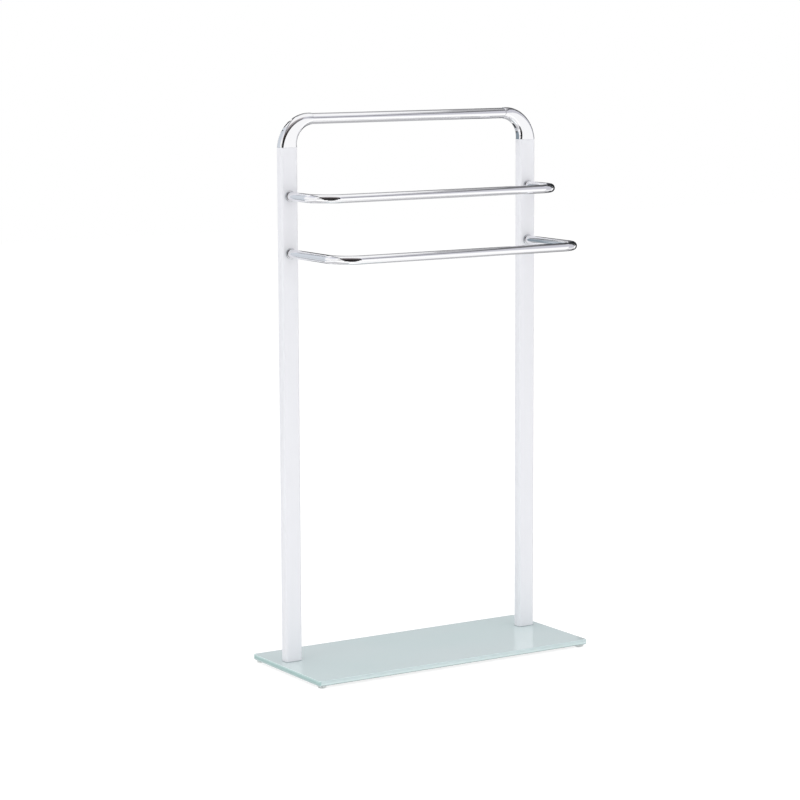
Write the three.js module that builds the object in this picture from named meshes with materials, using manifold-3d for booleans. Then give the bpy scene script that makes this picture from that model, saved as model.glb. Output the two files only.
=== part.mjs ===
// A free-standing towel stand: a glass base plate on four feet, two white posts,
// a chromed top rail between two cast elbows, and two chromed U rails in front.
// Millimetres, +Z up, +X to the right and -Y to the front. The origin lies on the
// floor, below the middle of the whole stand's outline.
import * as THREE from 'three';
import { mergeVertices } from 'three/addons/utils/BufferGeometryUtils.js';
import Module from 'manifold-3d';

// Glass base plate
const BASE_LENGTH = 480;
const BASE_DEPTH = 200;
const GLASS_THICKNESS = 8;
const GLASS_CORNER_RADIUS = 8;
const GLASS_ARRIS = 0.8;

// Soft feet under the plate
const FOOT_DIAMETER = 13;
const FOOT_HEIGHT = 4;
const FOOT_INSET = 9;
const FOOT_EDGE_ROUND = 1.2;

// Posts, rounded rectangular tube
const POST_END_MARGIN = 14.5;
const POST_SETBACK = 31;
const POST_LENGTH = 768;
const POST_WIDTH = 28;
const POST_DEPTH = 16;
const POST_CORNER_RADIUS = 4;
const POST_WALL = 1.2;
const GASKET_THICKNESS = 0.8;
const GASKET_MARGIN = 0.5;

// Elbow castings between posts and top rail
const ELBOW_RADIUS = 41;
const ELBOW_NECK_DIAMETER = 17.4;
const POST_SPIGOT_LENGTH = 24;
const RAIL_SPIGOT_LENGTH = 20;

// Top rail, round tube
const TOP_RAIL_DIAMETER = 16;
const TOP_RAIL_WALL = 1.2;

// U rails, round tube bent twice
const RAIL_DIAMETER = 13;
const RAIL_WALL = 1.1;
const RAIL_BEND_RADIUS = 34;
const UPPER_RAIL_DROP = 112;
const UPPER_RAIL_REACH = 92;
const LOWER_RAIL_DROP = 196;
const LOWER_RAIL_REACH = 150;

// Collars round the ends of the U rails
const COLLAR_WALL = 1.1;
const COLLAR_THICKNESS = 2.4;
const COLLAR_EDGE_ROUND = 0.7;

// Fastening of the U rails, from behind the posts
const END_PLUG_LENGTH = 22;
const RAIL_SCREW_DIAMETER = 5;
const RAIL_SCREW_HEAD_DIAMETER = 9.5;
const RAIL_SCREW_HEAD_HEIGHT = 2.7;
const RAIL_SCREW_REACH = 16;
const RAIL_SCREW_SOCKET = 3;
const RAIL_SCREW_SOCKET_DEPTH = 1.7;
const RAIL_WASHER_DIAMETER = 11;
const RAIL_WASHER_THICKNESS = 1;

// Fastening of the posts, from beneath the glass
const POST_INSERT_LENGTH = 34;
const BASE_SCREW_DIAMETER = 6;
const BASE_SCREW_HEAD_DIAMETER = 15;
const BASE_SCREW_HEAD_HEIGHT = 2;
const BASE_SCREW_HEAD_CHAMFER = 0.5;
const BASE_SCREW_REACH = 24;
const BASE_SCREW_SOCKET = 4;
const BASE_SCREW_SOCKET_DEPTH = 2.6;
const BUSH_FLANGE_DIAMETER = 19;
const BUSH_FLANGE_THICKNESS = 1;
const BUSH_WALL = 1.2;

// Clearance round what plugs in, overrun of every cut, and distance at which points merge
const FIT = 0.3;
const OVERRUN = 2;
const MERGE_DISTANCE = 0.0001;

// Facets
const CORNER_FACETS = 6;
const ROUND_FACETS = 24;
const SMALL_FACETS = 16;
const BEND_FACETS = 8;
const ELBOW_FACETS = 10;
const EDGE_FACETS = 3;
const HEX = 6;

// Places that follow from the sizes above
const HALF = 0.5;
const QUARTER_TURN = Math.PI / 2;
const FULL_TURN = Math.PI * 2;
const POST_SPACING = BASE_LENGTH - POST_END_MARGIN - POST_WIDTH - POST_END_MARGIN;
const GLASS_TOP = FOOT_HEIGHT + GLASS_THICKNESS;
const POST_BOTTOM = GLASS_TOP + GASKET_THICKNESS;
const POST_TOP = POST_BOTTOM + POST_LENGTH;
const TOP_RAIL_Z = POST_TOP + ELBOW_RADIUS;
const TOP_RAIL_LENGTH = POST_SPACING - ELBOW_RADIUS - ELBOW_RADIUS;
const STAND_REAR = Math.max(BASE_DEPTH * HALF, POST_SETBACK + POST_DEPTH * HALF);
const RAIL_FRONT = POST_SETBACK - Math.max(LOWER_RAIL_REACH, UPPER_RAIL_REACH) - RAIL_DIAMETER * HALF;
const STAND_FRONT = Math.min(-BASE_DEPTH * HALF, RAIL_FRONT);
const BASE_Y = -(STAND_REAR + STAND_FRONT) * HALF;
const POST_Y = BASE_Y + POST_SETBACK;
const POST_BORE_WIDTH = POST_WIDTH - POST_WALL - POST_WALL;
const POST_BORE_DEPTH = POST_DEPTH - POST_WALL - POST_WALL;
const POST_BORE_RADIUS = POST_CORNER_RADIUS - POST_WALL;
const SIDES = [{ name: 'left', sign: -1 }, { name: 'right', sign: 1 }];
const ENDS = [{ name: 'front', sign: -1 }, { name: 'rear', sign: 1 }];
const U_RAILS = [
  { name: 'upper', z: TOP_RAIL_Z - UPPER_RAIL_DROP, reach: UPPER_RAIL_REACH },
  { name: 'lower', z: TOP_RAIL_Z - LOWER_RAIL_DROP, reach: LOWER_RAIL_REACH },
];

const wasm = await Module();
wasm.setup();

// Finishes
const glass = () => new THREE.MeshStandardMaterial({ color: 0xccd8d7, roughness: 0.08, metalness: 0 });
const whiteLacquer = () => new THREE.MeshStandardMaterial({ color: 0xeceef2, roughness: 0.35, metalness: 0 });
const chrome = () => new THREE.MeshStandardMaterial({ color: 0xd9dbe0, roughness: 0.06, metalness: 1 });
const clearRubber = () => new THREE.MeshStandardMaterial({ color: 0xd8dedd, roughness: 0.5, metalness: 0 });
const greyRubber = () => new THREE.MeshStandardMaterial({ color: 0x8d9799, roughness: 0.7, metalness: 0 });
const nylon = () => new THREE.MeshStandardMaterial({ color: 0xe4e4df, roughness: 0.55, metalness: 0 });
const zincSteel = () => new THREE.MeshStandardMaterial({ color: 0xa9adb2, roughness: 0.35, metalness: 1 });

// A closed geometry as a solid that can be joined and cut
function toSolid(geometry) {
  const bare = geometry.index ? geometry.toNonIndexed() : geometry.clone();
  bare.deleteAttribute('normal');
  bare.deleteAttribute('uv');
  const merged = mergeVertices(bare, MERGE_DISTANCE);
  const vertProperties = merged.attributes.position.array;
  const triVerts = new Uint32Array(merged.index.array);
  return new wasm.Manifold(new wasm.Mesh({ numProp: 3, vertProperties, triVerts }));
}

// A solid as a geometry again
function toGeometry(solid) {
  const mesh = solid.getMesh();
  const geometry = new THREE.BufferGeometry();
  geometry.setAttribute('position', new THREE.BufferAttribute(mesh.vertProperties, mesh.numProp));
  geometry.setIndex(new THREE.BufferAttribute(mesh.triVerts, 1));
  const flat = geometry.toNonIndexed();
  flat.computeVertexNormals();
  return flat;
}

function cut(geometry, ...tools) {
  return toGeometry(tools.reduce((solid, tool) => solid.subtract(toSolid(tool)), toSolid(geometry)));
}

function join(geometry, ...others) {
  return toGeometry(others.reduce((solid, other) => solid.add(toSolid(other)), toSolid(geometry)));
}

function named(name, geometry, material) {
  const mesh = new THREE.Mesh(geometry, material);
  mesh.name = name;
  return mesh;
}

// Outline of a rounded rectangle, anticlockwise. Its flats lie on the true sides and touch the
// corner arcs, and its points stay apart from each other when it is a full circle.
function roundedOutline(width, depth, radius) {
  const corners = [[1, 1], [-1, 1], [-1, -1], [1, -1]];
  const reachX = width * HALF - radius;
  const reachY = depth * HALF - radius;
  const pointRadius = radius / Math.cos((QUARTER_TURN / CORNER_FACETS) * HALF);
  const points = [];
  corners.forEach(([signX, signY], quarter) => {
    for (let i = 0; i < CORNER_FACETS; i++) {
      const angle = (quarter + (i + HALF) / CORNER_FACETS) * QUARTER_TURN;
      const x = signX * reachX + pointRadius * Math.cos(angle);
      const y = signY * reachY + pointRadius * Math.sin(angle);
      points.push(new THREE.Vector2(x, y));
    }
  });
  return points;
}

// A circle as a polygon whose flats touch it
function circleOutline(diameter, facets) {
  const pointRadius = (diameter * HALF) / Math.cos(Math.PI / facets);
  const points = [];
  for (let i = 0; i < facets; i++) {
    const angle = ((i + HALF) / facets) * FULL_TURN;
    points.push(new THREE.Vector2(Math.cos(angle), Math.sin(angle)).multiplyScalar(pointRadius));
  }
  return points;
}

// A prism that stands on z = 0, with any bores through it
function prism(outline, height, bores = []) {
  const shape = new THREE.Shape(outline);
  shape.holes = bores.map((bore) => new THREE.Path(bore));
  return new THREE.ExtrudeGeometry(shape, { depth: height, steps: 1, bevelEnabled: false });
}

// A turned piece: pairs of radius and height from the bottom up, then turned to stand on Z
function turned(profile, facets) {
  const points = profile.map(([radius, height]) => new THREE.Vector2(radius, height));
  return new THREE.LatheGeometry(points, facets).rotateX(QUARTER_TURN);
}

// The quarter round of an outer edge in a turned profile, from angle from to angle to
function edgeRound(radius, height, round, from, to) {
  const points = [];
  for (let i = 0; i <= EDGE_FACETS; i++) {
    const angle = from + ((to - from) * i) / EDGE_FACETS;
    points.push([radius + round * Math.cos(angle), height + round * Math.sin(angle)]);
  }
  return points;
}

// A skin over closed rings of points, with a flat cap on each end
function loft(rings) {
  const sides = rings[0].length;
  const positions = [];
  const index = [];
  rings.flat().forEach((point) => positions.push(point.x, point.y, point.z));
  for (let r = 0; r + 1 < rings.length; r++) {
    for (let i = 0; i < sides; i++) {
      const a = r * sides + i;
      const b = r * sides + ((i + 1) % sides);
      index.push(a, b, b + sides, a, b + sides, a + sides);
    }
  }
  const last = (rings.length - 1) * sides;
  for (let i = 1; i + 1 < sides; i++) {
    index.push(0, i + 1, i);
    index.push(last, last + i, last + i + 1);
  }
  const geometry = new THREE.BufferGeometry();
  geometry.setAttribute('position', new THREE.Float32BufferAttribute(positions, 3));
  geometry.setIndex(index);
  return geometry;
}

// A path that is sampled only at its stations, so the straights take one step each
class StationPath extends THREE.Curve {
  constructor(stations) {
    super();
    this.stations = stations;
  }

  stationAt(share) {
    return this.stations[Math.round(share * (this.stations.length - 1))];
  }

  getPoint(share, target = new THREE.Vector3()) {
    return target.copy(this.stationAt(share).point);
  }

  getPointAt(share, target) {
    return this.getPoint(share, target);
  }

  getTangentAt(share, target = new THREE.Vector3()) {
    return target.copy(this.stationAt(share).tangent);
  }
}

function glassBase() {
  const outline = roundedOutline(BASE_LENGTH, BASE_DEPTH, GLASS_CORNER_RADIUS);
  const shape = new THREE.Shape(outline);
  const plate = new THREE.ExtrudeGeometry(shape, {
    depth: GLASS_THICKNESS - GLASS_ARRIS - GLASS_ARRIS,
    steps: 1,
    bevelSegments: 1,
    bevelThickness: GLASS_ARRIS,
    bevelSize: GLASS_ARRIS,
    bevelOffset: -GLASS_ARRIS,
  });
  plate.translate(0, 0, FOOT_HEIGHT + GLASS_ARRIS);
  const holeDiameter = BASE_SCREW_DIAMETER + (FIT + BUSH_WALL + FIT) * 2;
  const holes = SIDES.map((side) => {
    const drill = prism(circleOutline(holeDiameter, ROUND_FACETS), GLASS_THICKNESS + OVERRUN + OVERRUN);
    return drill.translate(side.sign * POST_SPACING * HALF, POST_SETBACK, FOOT_HEIGHT - OVERRUN);
  });
  const base = named('glass_base', cut(plate, ...holes), glass());
  base.position.y = BASE_Y;
  return base;
}

function foot(end, side) {
  const radius = FOOT_DIAMETER * HALF;
  const rounded = edgeRound(radius - FOOT_EDGE_ROUND, FOOT_EDGE_ROUND, FOOT_EDGE_ROUND, -QUARTER_TURN, 0);
  const profile = [[0, 0], ...rounded, [radius, FOOT_HEIGHT], [0, FOOT_HEIGHT]];
  const mesh = named(`foot_${end.name}_${side.name}`, turned(profile, ROUND_FACETS), clearRubber());
  const x = side.sign * (BASE_LENGTH * HALF - FOOT_INSET);
  const y = BASE_Y + end.sign * (BASE_DEPTH * HALF - FOOT_INSET);
  mesh.position.set(x, y, 0);
  return mesh;
}

// A post, with the clearance holes of both rail screws through its front and rear walls
function post(side) {
  const bore = roundedOutline(POST_BORE_WIDTH, POST_BORE_DEPTH, POST_BORE_RADIUS);
  const tube = prism(roundedOutline(POST_WIDTH, POST_DEPTH, POST_CORNER_RADIUS), POST_LENGTH, [bore]);
  const drills = U_RAILS.map((rail) => {
    const outline = circleOutline(RAIL_SCREW_DIAMETER + FIT + FIT, SMALL_FACETS);
    const drill = prism(outline, POST_DEPTH + OVERRUN + OVERRUN).rotateX(QUARTER_TURN);
    return drill.translate(0, POST_DEPTH * HALF + OVERRUN, rail.z - POST_BOTTOM);
  });
  const mesh = named(`${side.name}_post`, cut(tube, ...drills), whiteLacquer());
  mesh.position.z = POST_BOTTOM;
  return mesh;
}

// A thin gasket keeps the post's edge off the glass
function postGasket(side) {
  const width = POST_WIDTH - GASKET_MARGIN * 2;
  const depth = POST_DEPTH - GASKET_MARGIN * 2;
  const outline = roundedOutline(width, depth, POST_CORNER_RADIUS - GASKET_MARGIN);
  const hole = circleOutline(BASE_SCREW_DIAMETER + FIT + FIT, SMALL_FACETS);
  const mesh = named(`${side.name}_post_gasket`, prism(outline, GASKET_THICKNESS, [hole]), greyRubber());
  mesh.position.z = GLASS_TOP;
  return mesh;
}

// The threaded insert in the post's foot, which the base screw pulls down
function postInsert(side) {
  const width = POST_BORE_WIDTH - FIT - FIT;
  const depth = POST_BORE_DEPTH - FIT - FIT;
  const outline = roundedOutline(width, depth, POST_BORE_RADIUS - FIT);
  const hole = circleOutline(BASE_SCREW_DIAMETER + FIT + FIT, SMALL_FACETS);
  const mesh = named(`${side.name}_post_insert`, prism(outline, POST_INSERT_LENGTH, [hole]), nylon());
  mesh.position.z = POST_BOTTOM;
  return mesh;
}

// A flanged bush keeps the screw and its head off the glass
function baseBush(side) {
  const inner = BASE_SCREW_DIAMETER * HALF + FIT;
  const sleeve = inner + BUSH_WALL;
  const flange = BUSH_FLANGE_DIAMETER * HALF;
  const top = BUSH_FLANGE_THICKNESS + GLASS_THICKNESS - FIT;
  const profile = [
    [inner, 0],
    [flange, 0],
    [flange, BUSH_FLANGE_THICKNESS],
    [sleeve, BUSH_FLANGE_THICKNESS],
    [sleeve, top],
    [inner, top],
    [inner, 0],
  ];
  const mesh = named(`${side.name}_base_bush`, turned(profile, ROUND_FACETS), nylon());
  mesh.position.z = FOOT_HEIGHT - BUSH_FLANGE_THICKNESS;
  return mesh;
}

// A hexagon socket, sunk downwards from z = 0 by its depth
function hexSocket(acrossFlats, depth) {
  return prism(circleOutline(acrossFlats, HEX), depth + OVERRUN).translate(0, 0, -depth);
}

// Flat-headed base screw. It is made head up and turned over to point upwards.
function baseScrew(side) {
  const shank = BASE_SCREW_DIAMETER * HALF;
  const head = BASE_SCREW_HEAD_DIAMETER * HALF;
  const reach = BUSH_FLANGE_THICKNESS + GLASS_THICKNESS + GASKET_THICKNESS + BASE_SCREW_REACH;
  const profile = [
    [0, -reach],
    [shank, -reach],
    [shank, 0],
    [head, 0],
    [head, BASE_SCREW_HEAD_HEIGHT - BASE_SCREW_HEAD_CHAMFER],
    [head - BASE_SCREW_HEAD_CHAMFER, BASE_SCREW_HEAD_HEIGHT],
    [0, BASE_SCREW_HEAD_HEIGHT],
  ];
  const socket = hexSocket(BASE_SCREW_SOCKET, BASE_SCREW_SOCKET_DEPTH);
  socket.translate(0, 0, BASE_SCREW_HEAD_HEIGHT);
  const screw = cut(turned(profile, ROUND_FACETS), socket).rotateX(Math.PI);
  const mesh = named(`${side.name}_base_screw`, screw, zincSteel());
  mesh.position.z = FOOT_HEIGHT - BUSH_FLANGE_THICKNESS;
  return mesh;
}

// One ring of the elbow: share 0 is the post's rounded rectangle, share 1 the round neck
function elbowRing(share) {
  const angle = share * QUARTER_TURN;
  const inPlane = THREE.MathUtils.lerp(POST_WIDTH, ELBOW_NECK_DIAMETER, share);
  const across = THREE.MathUtils.lerp(POST_DEPTH, ELBOW_NECK_DIAMETER, share);
  const radius = THREE.MathUtils.lerp(POST_CORNER_RADIUS, ELBOW_NECK_DIAMETER * HALF, share);
  return roundedOutline(inPlane, across, radius).map((point) => {
    const fromCentre = ELBOW_RADIUS - point.x;
    const x = ELBOW_RADIUS - fromCentre * Math.cos(angle);
    return new THREE.Vector3(x, point.y, fromCentre * Math.sin(angle));
  });
}

// The elbow casting for the left: it stands on the post's top and turns towards +X.
// One spigot goes down into the post and one sideways into the top rail.
function elbowGeometry() {
  const rings = [];
  for (let i = 0; i <= ELBOW_FACETS; i++) {
    rings.push(elbowRing(i / ELBOW_FACETS));
  }
  const spigotWidth = POST_BORE_WIDTH - FIT - FIT;
  const spigotDepth = POST_BORE_DEPTH - FIT - FIT;
  const spigotOutline = roundedOutline(spigotWidth, spigotDepth, POST_BORE_RADIUS - FIT);
  const postSpigot = prism(spigotOutline, POST_SPIGOT_LENGTH + OVERRUN);
  postSpigot.translate(0, 0, -POST_SPIGOT_LENGTH);
  const railSpigotDiameter = TOP_RAIL_DIAMETER - (TOP_RAIL_WALL + FIT) * 2;
  const railSpigot = prism(circleOutline(railSpigotDiameter, ROUND_FACETS), RAIL_SPIGOT_LENGTH + OVERRUN);
  railSpigot.rotateY(QUARTER_TURN).translate(ELBOW_RADIUS - OVERRUN, 0, ELBOW_RADIUS);
  return join(loft(rings), postSpigot, railSpigot);
}

function elbow(side) {
  const mesh = named(`${side.name}_elbow`, elbowGeometry(), chrome());
  mesh.position.z = POST_TOP;
  mesh.rotation.z = side.sign > 0 ? Math.PI : 0;
  return mesh;
}

function topRail() {
  const bore = circleOutline(TOP_RAIL_DIAMETER - TOP_RAIL_WALL * 2, ROUND_FACETS);
  const tube = prism(circleOutline(TOP_RAIL_DIAMETER, ROUND_FACETS), TOP_RAIL_LENGTH, [bore]);
  const mesh = named('top_rail', tube.rotateY(QUARTER_TURN), chrome());
  mesh.position.set(-TOP_RAIL_LENGTH * HALF, POST_Y, TOP_RAIL_Z);
  return mesh;
}

// Stations of a U rail's centreline, from the left post's face round to the right post's face
function uRailStations(reach) {
  const armX = POST_SPACING * HALF;
  const bendX = armX - RAIL_BEND_RADIUS;
  const bendY = -reach + RAIL_BEND_RADIUS;
  const left = [];
  left.push({ point: new THREE.Vector3(-armX, -POST_DEPTH * HALF, 0), tangent: new THREE.Vector3(0, -1, 0) });
  for (let i = 0; i <= BEND_FACETS; i++) {
    const angle = (i / BEND_FACETS) * QUARTER_TURN;
    const x = -bendX - RAIL_BEND_RADIUS * Math.cos(angle);
    const y = bendY - RAIL_BEND_RADIUS * Math.sin(angle);
    const tangent = new THREE.Vector3(Math.sin(angle), -Math.cos(angle), 0);
    left.push({ point: new THREE.Vector3(x, y, 0), tangent });
  }
  const right = left.map(({ point, tangent }) => ({
    point: new THREE.Vector3(-point.x, point.y, 0),
    tangent: new THREE.Vector3(tangent.x, -tangent.y, 0),
  }));
  return [...left, ...right.reverse()];
}

function uRail(rail) {
  const stations = uRailStations(rail.reach);
  const shape = new THREE.Shape(circleOutline(RAIL_DIAMETER, ROUND_FACETS));
  shape.holes = [new THREE.Path(circleOutline(RAIL_DIAMETER - RAIL_WALL * 2, ROUND_FACETS))];
  const tube = new THREE.ExtrudeGeometry(shape, {
    steps: stations.length - 1,
    extrudePath: new StationPath(stations),
  });
  const mesh = named(`${rail.name}_rail`, tube, chrome());
  mesh.position.set(0, POST_Y, rail.z);
  return mesh;
}

// A thin rounded ring round the rail's end, flat on the post's front face
function collar(rail, side) {
  const inner = RAIL_DIAMETER * HALF + FIT;
  const outer = inner + COLLAR_WALL;
  const round = COLLAR_EDGE_ROUND;
  const rounded = edgeRound(outer - round, COLLAR_THICKNESS - round, round, 0, QUARTER_TURN);
  const profile = [[inner, 0], [outer, 0], ...rounded, [inner, COLLAR_THICKNESS], [inner, 0]];
  const ring = turned(profile, ROUND_FACETS).rotateX(QUARTER_TURN);
  const mesh = named(`${rail.name}_${side.name}_collar`, ring, chrome());
  mesh.position.set(0, -POST_DEPTH * HALF, rail.z);
  return mesh;
}

// The threaded plug in the rail's end, flush with it
function endPlug(rail, side) {
  const outline = circleOutline(RAIL_DIAMETER - (RAIL_WALL + FIT) * 2, ROUND_FACETS);
  const hole = circleOutline(RAIL_SCREW_DIAMETER + FIT + FIT, SMALL_FACETS);
  const plug = prism(outline, END_PLUG_LENGTH, [hole]).rotateX(QUARTER_TURN);
  const mesh = named(`${rail.name}_${side.name}_end_plug`, plug, zincSteel());
  mesh.position.set(0, -POST_DEPTH * HALF, rail.z);
  return mesh;
}

function railWasher(rail, side) {
  const hole = circleOutline(RAIL_SCREW_DIAMETER + FIT + FIT, SMALL_FACETS);
  const outline = circleOutline(RAIL_WASHER_DIAMETER, ROUND_FACETS);
  const washer = prism(outline, RAIL_WASHER_THICKNESS, [hole]).rotateX(-QUARTER_TURN);
  const mesh = named(`${rail.name}_${side.name}_rail_washer`, washer, zincSteel());
  mesh.position.set(0, POST_DEPTH * HALF, rail.z);
  return mesh;
}

// Domed rail screw, made head up and then laid with its head to the rear
function railScrew(rail, side) {
  const shank = RAIL_SCREW_DIAMETER * HALF;
  const head = RAIL_SCREW_HEAD_DIAMETER * HALF;
  const rim = RAIL_SCREW_HEAD_HEIGHT - RAIL_SCREW_SOCKET_DEPTH;
  const reach = RAIL_WASHER_THICKNESS + POST_DEPTH + RAIL_SCREW_REACH;
  const domeEnd = RAIL_SCREW_SOCKET;
  const profile = [
    [0, -reach],
    [shank, -reach],
    [shank, 0],
    [head, 0],
    [head, rim * HALF],
    [(head + domeEnd) * HALF, RAIL_SCREW_HEAD_HEIGHT - rim * HALF],
    [domeEnd, RAIL_SCREW_HEAD_HEIGHT],
    [0, RAIL_SCREW_HEAD_HEIGHT],
  ];
  const socket = hexSocket(RAIL_SCREW_SOCKET, RAIL_SCREW_SOCKET_DEPTH);
  socket.translate(0, 0, RAIL_SCREW_HEAD_HEIGHT);
  const screw = cut(turned(profile, SMALL_FACETS), socket).rotateX(-QUARTER_TURN);
  const mesh = named(`${rail.name}_${side.name}_rail_screw`, screw, zincSteel());
  mesh.position.set(0, POST_DEPTH * HALF + RAIL_WASHER_THICKNESS, rail.z);
  return mesh;
}

// All that stands in one post's column, in a group placed at the post's axis
function column(side) {
  const group = new THREE.Group();
  group.position.set(side.sign * POST_SPACING * HALF, POST_Y, 0);
  group.add(post(side), postGasket(side), postInsert(side), baseBush(side), baseScrew(side), elbow(side));
  U_RAILS.forEach((rail) => {
    group.add(collar(rail, side), endPlug(rail, side), railWasher(rail, side), railScrew(rail, side));
  });
  return group;
}

const stand = new THREE.Group();
stand.name = 'towel_stand';
stand.add(glassBase());
ENDS.forEach((end) => SIDES.forEach((side) => stand.add(foot(end, side))));
SIDES.forEach((side) => stand.add(column(side)));
stand.add(topRail());
U_RAILS.forEach((rail) => stand.add(uRail(rail)));

export default stand;
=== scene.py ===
# %% [markdown]
# # A towel stand on a glass base plate
# The real object is a free-standing towel stand: two white posts on a plate of glass, a chromed
# top rail that runs into both posts through chromed elbows, and two chromed rails bent to a U
# that reach forwards at different depths. The measured solids of all of it are loaded first as a
# fixed frame. Each visible piece is then modelled over its solid with finer edges, rounder tubes
# and a finish of its own, and the hidden pieces keep their solids and only get a finish.

# %% Load the measured frame
import math
import bmesh
import bpy
from mathutils import Matrix, Vector


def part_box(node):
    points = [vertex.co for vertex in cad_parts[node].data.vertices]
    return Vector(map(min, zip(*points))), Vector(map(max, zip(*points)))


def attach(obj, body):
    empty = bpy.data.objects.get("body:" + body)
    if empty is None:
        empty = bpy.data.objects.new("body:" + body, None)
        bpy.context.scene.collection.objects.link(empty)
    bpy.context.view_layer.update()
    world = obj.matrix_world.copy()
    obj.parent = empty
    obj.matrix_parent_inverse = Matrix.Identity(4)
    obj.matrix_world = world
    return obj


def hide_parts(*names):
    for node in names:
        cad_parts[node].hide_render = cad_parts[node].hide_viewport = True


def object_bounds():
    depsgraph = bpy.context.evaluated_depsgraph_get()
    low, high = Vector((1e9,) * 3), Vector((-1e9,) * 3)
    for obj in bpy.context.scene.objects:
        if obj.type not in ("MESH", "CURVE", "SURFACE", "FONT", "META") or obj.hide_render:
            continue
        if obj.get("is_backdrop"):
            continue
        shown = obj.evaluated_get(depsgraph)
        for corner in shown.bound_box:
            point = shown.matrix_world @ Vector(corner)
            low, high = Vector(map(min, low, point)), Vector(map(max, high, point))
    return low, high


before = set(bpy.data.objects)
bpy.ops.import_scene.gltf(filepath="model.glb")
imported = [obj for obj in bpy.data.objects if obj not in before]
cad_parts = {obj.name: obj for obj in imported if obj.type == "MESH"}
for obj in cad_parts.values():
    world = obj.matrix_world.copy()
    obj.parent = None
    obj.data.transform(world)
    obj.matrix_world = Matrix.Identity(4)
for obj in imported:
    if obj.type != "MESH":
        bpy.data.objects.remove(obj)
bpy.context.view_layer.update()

MM = 0.001
print("solids:", len(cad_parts))

# %% [markdown]
# ## The camera
# The photograph looks at the stand from the front left, from a little above the rails. Its place
# was worked out from the straight edges of the plate, posts and rails, so it is set here as a
# position, a turn to the right, a tilt downwards, a very small roll, a focal length and a slight
# shift. A camera could also be aimed with a Track To constraint, but plain angles keep the fit.

# %% Place the camera
# The place and the end of sight are in metres, the angles in radians, and lens and film in
# millimetres. The shift is a share of the film's width.
CAMERA_PLACE = Vector((-2.1201, -3.30993, 0.9807))
CAMERA_TURN = 0.55985
CAMERA_TILT = 0.14162
CAMERA_ROLL = -0.004
FOCAL_LENGTH = 118.424
LENS_SHIFT = -0.02
FILM_WIDTH = 36
SIGHT_END = 50

camera_data = bpy.data.cameras.new("camera")
camera_data.sensor_width = FILM_WIDTH
camera_data.lens = FOCAL_LENGTH
camera_data.shift_y = LENS_SHIFT
camera_data.clip_end = SIGHT_END
camera = bpy.data.objects.new("camera", camera_data)
bpy.context.scene.collection.objects.link(camera)
turned = Matrix.Rotation(-CAMERA_TURN, 4, "Z")
tilted = turned @ Matrix.Rotation(math.pi / 2 - CAMERA_TILT, 4, "X")
rolled = tilted @ Matrix.Rotation(CAMERA_ROLL, 4, "Z")
camera.matrix_world = Matrix.Translation(CAMERA_PLACE) @ rolled
bpy.context.scene.camera = camera
print("camera from the stand, m:", round(CAMERA_PLACE.length, 2))

# %% [markdown]
# ## A few hand tools
# Every piece below is made as by hand: a simple shape is added, its corners, edges or faces are
# picked, and they are bevelled, inset, extruded or bridged. Picking with a mouse becomes picking
# by place or direction here. These helpers only save typing: some clear the selection or pick,
# one names a new shape, some bevel, extrude and copy, and the last one finishes a piece by
# smoothing its shading and tying it to the frame.

# %% Tools for picking and shaping
def start_fresh():
    """Back to object mode, with nothing selected."""
    if bpy.context.mode != "OBJECT":
        bpy.ops.object.mode_set(mode="OBJECT")
    bpy.ops.object.select_all(action="DESELECT")


def take(piece):
    """Makes one piece the selected and active one."""
    start_fresh()
    piece.select_set(True)
    bpy.context.view_layer.objects.active = piece


def fix_place():
    """Moves the place, turn and size of the selected piece into its mesh."""
    bpy.ops.object.transform_apply(location=True, rotation=True, scale=True)


def start_piece(name):
    """Names the shape that was just added, fixes its place and opens it in edit mode."""
    piece = bpy.context.object
    piece.name = piece.data.name = name
    fix_place()
    bpy.ops.object.mode_set(mode="EDIT")
    return piece


def pick(kind, test):
    """In edit mode, selects the verts, edges or faces that pass a test."""
    modes = {"verts": "VERT", "edges": "EDGE", "faces": "FACE"}
    bpy.ops.mesh.select_mode(type=modes[kind])
    bpy.ops.mesh.select_all(action="DESELECT")
    mesh = bpy.context.object.data
    shape = bmesh.from_edit_mesh(mesh)
    shape.normal_update()
    chosen = [part for part in getattr(shape, kind) if test(part)]
    for part in chosen:
        part.select = True
    shape.select_flush_mode()
    bmesh.update_edit_mesh(mesh)
    return len(chosen)


def round_off(width, steps):
    """Bevels the selected edges, or the rim of the selected faces."""
    bpy.ops.mesh.bevel(offset=width, offset_type="OFFSET", segments=steps, affect="EDGES")


def push(offset):
    """Extrudes what is selected by an offset."""
    bpy.ops.mesh.extrude_region_move(TRANSFORM_OT_translate={"value": offset})


# %% Tools for copying and finishing a piece
SMOOTH_UP_TO = math.radians(32)


def apply_modifier(piece, kind, **settings):
    """Adds a modifier to a piece, sets it and applies it."""
    take(piece)
    modifier = piece.modifiers.new(kind.lower(), kind)
    for setting, value in settings.items():
        setattr(modifier, setting, value)
    bpy.ops.object.modifier_apply(modifier=modifier.name)


def copy_to(piece, name, offset):
    """A copy of a piece with its own mesh, moved by an offset."""
    take(piece)
    bpy.ops.object.duplicate(linked=False)
    twin = bpy.context.object
    twin.name = twin.data.name = name
    twin.location = offset
    fix_place()
    return twin


def with_copies(first, prefix, offsets):
    """A list of a piece and its copies, from the end of each copy's name and its offset."""
    return [first, *(copy_to(first, prefix + end, offset) for end, offset in offsets.items())]


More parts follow.
